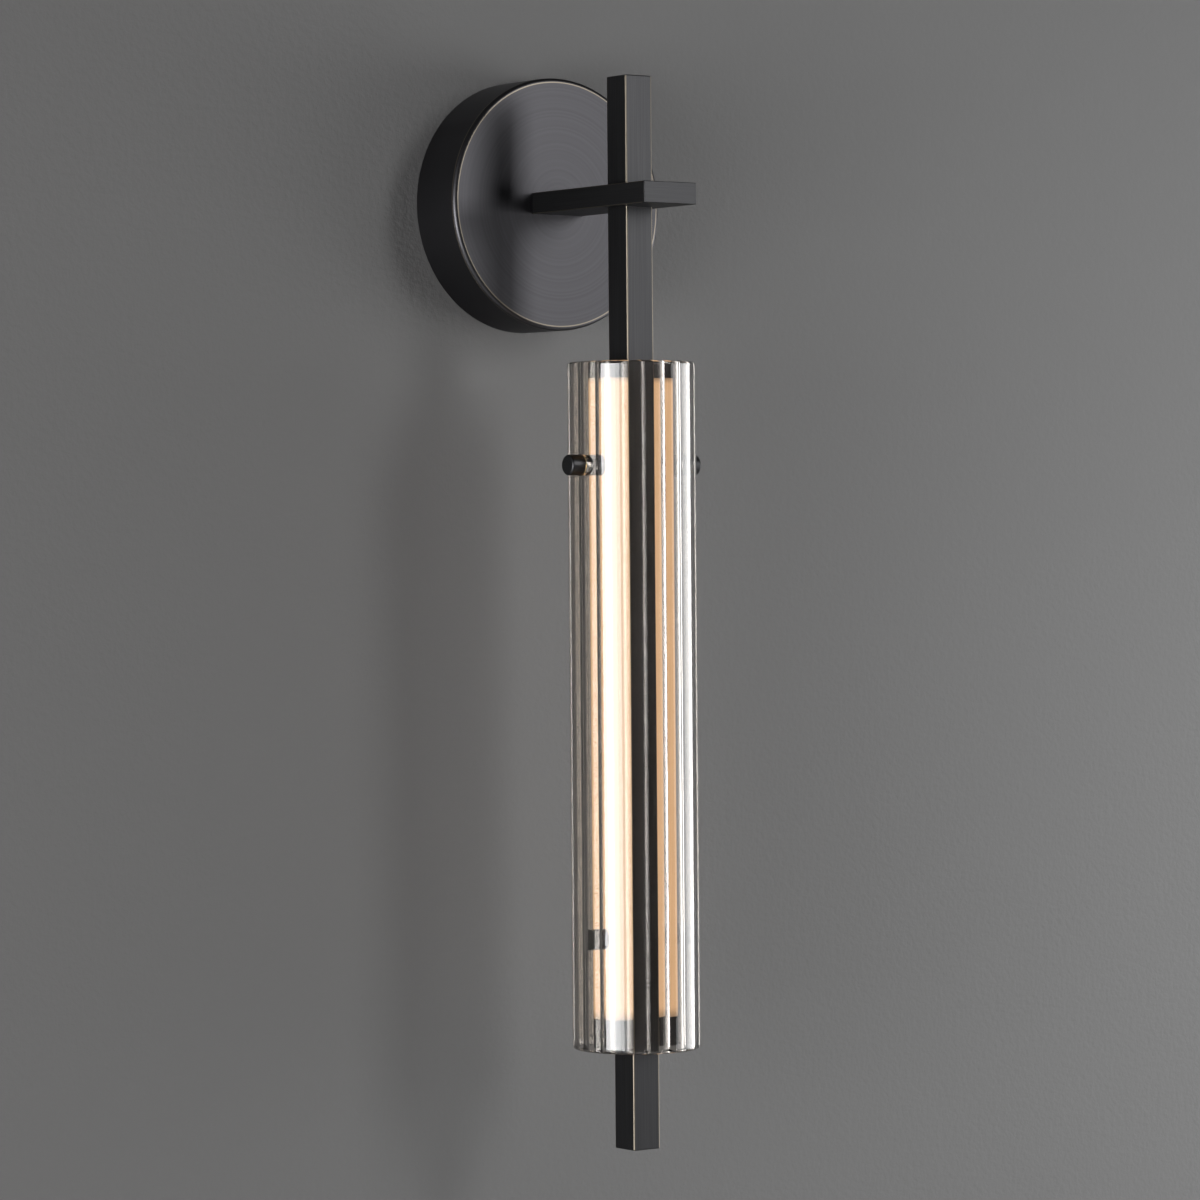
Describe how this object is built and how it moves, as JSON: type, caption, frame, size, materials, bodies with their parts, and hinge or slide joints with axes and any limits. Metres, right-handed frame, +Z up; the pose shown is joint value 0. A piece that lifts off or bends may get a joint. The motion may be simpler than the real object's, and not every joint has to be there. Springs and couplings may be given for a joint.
{
  "type": "wall light",
  "caption": "Linear wall light: round canopy, flat arm and slim upright square bar with warm light strips on both sides, inside a thick fluted clear glass tube held by two thumb knobs.",
  "frame": {"origin": "centre of the wall fixing, in the wall plane behind the canopy", "axes": "+Z up along the bar, -Y out from the wall towards the room, +X to the right as seen from the room"},
  "size_m": [0.12, 0.12, 0.504],
  "materials": {
    "dark_metal": "fine brushed dark gunmetal, eased bright edges",
    "zinc_steel": "bright zinc plate",
    "chip_yellow": "phosphor under clear resin",
    "lead_brown": "extruded insulation",
    "lead_blue": "extruded insulation",
    "lead_green": "extruded insulation, green and yellow",
    "brass": "turned satin brass",
    "black_rubber": "matt moulded rubber",
    "clear_glass": "clear, polished, fluted inside",
    "driver_case": "moulded white case",
    "lead_black": "extruded insulation",
    "board_white": "white solder mask",
    "channel_metal": "anodised extrusion",
    "milky_cover": "milky light cover, satin",
    "lead_red": "extruded insulation",
    "terminal_nylon": "natural nylon"
  },
  "bodies": {
    "root": {"arm_nose": "dark_metal", "arm_root_block": "zinc_steel", "arm_screws": "zinc_steel", "arm_tube": "dark_metal", "arm_washers": "zinc_steel", "bar_cap_bottom": "dark_metal", "bar_cap_top": "dark_metal", "bar_tube": "dark_metal", "canopy": "dark_metal", "canopy_nuts": "zinc_steel", "canopy_studs": "zinc_steel", "chips_left": "chip_yellow", "chips_right": "chip_yellow", "cross_rod_lower": "zinc_steel", "cross_rod_upper": "zinc_steel", "driver_lead_live": "lead_brown", "driver_lead_neutral": "lead_blue", "earth_lead": "lead_green", "earth_lug": "zinc_steel", "earth_screw": "brass", "glass_sleeve_left": "black_rubber", "glass_sleeve_right": "black_rubber", "glass_tube": "clear_glass", "inlet_grommet": "black_rubber", "inner_gasket_left": "black_rubber", "inner_gasket_right": "black_rubber", "lead_bush": "black_rubber", "led_driver": "driver_case", "rim_screws": "dark_metal", "series_link": "lead_black", "spacer_lower_left": "dark_metal", "spacer_lower_right": "dark_metal", "spacer_tip_left": "black_rubber", "spacer_tip_right": "black_rubber", "spacer_upper_left": "dark_metal", "spacer_upper_right": "dark_metal", "strip_board_left": "board_white", "strip_board_right": "board_white", "strip_channel_left": "channel_metal", "strip_channel_right": "channel_metal", "strip_cover_left": "milky_cover", "strip_cover_right": "milky_cover", "strip_ends_left": "dark_metal", "strip_ends_right": "dark_metal", "strip_lead_minus": "lead_black", "strip_lead_plus": "lead_red", "terminal_block": "terminal_nylon", "terminal_screws": "zinc_steel", "wall_bracket": "zinc_steel"},
    "knob_carrier_left": {"knob_washer_left": "brass"},
    "knob_carrier_right": {"knob_washer_right": "brass"},
    "knob_left": {"thumb_knob_left": "dark_metal"},
    "knob_right": {"thumb_knob_right": "dark_metal"}
  },
  "joints": [
    {"name": "washer_slide_left", "type": "slide", "parent": "root", "child": "knob_carrier_left", "axis": [-1, 0, 0], "range_m": [0, 0.0056]},
    {"name": "knob_turn_left", "type": "hinge", "parent": "knob_carrier_left", "child": "knob_left", "pos_m": [-0.035, -0.0885, -0.125], "axis": [-1, 0, 0], "range_deg": [0, 2880]},
    {"name": "washer_slide_right", "type": "slide", "parent": "root", "child": "knob_carrier_right", "axis": [1, 0, 0], "range_m": [0, 0.0056]},
    {"name": "knob_turn_right", "type": "hinge", "parent": "knob_carrier_right", "child": "knob_right", "pos_m": [0.035, -0.0885, -0.125], "axis": [1, 0, 0], "range_deg": [0, 2880]}
  ],
  "couplings": [
    {"joint": "knob_turn_left", "follows": "washer_slide_left", "rad_per_m": 8976},
    {"joint": "knob_turn_right", "follows": "washer_slide_right", "rad_per_m": 8976}
  ]
}
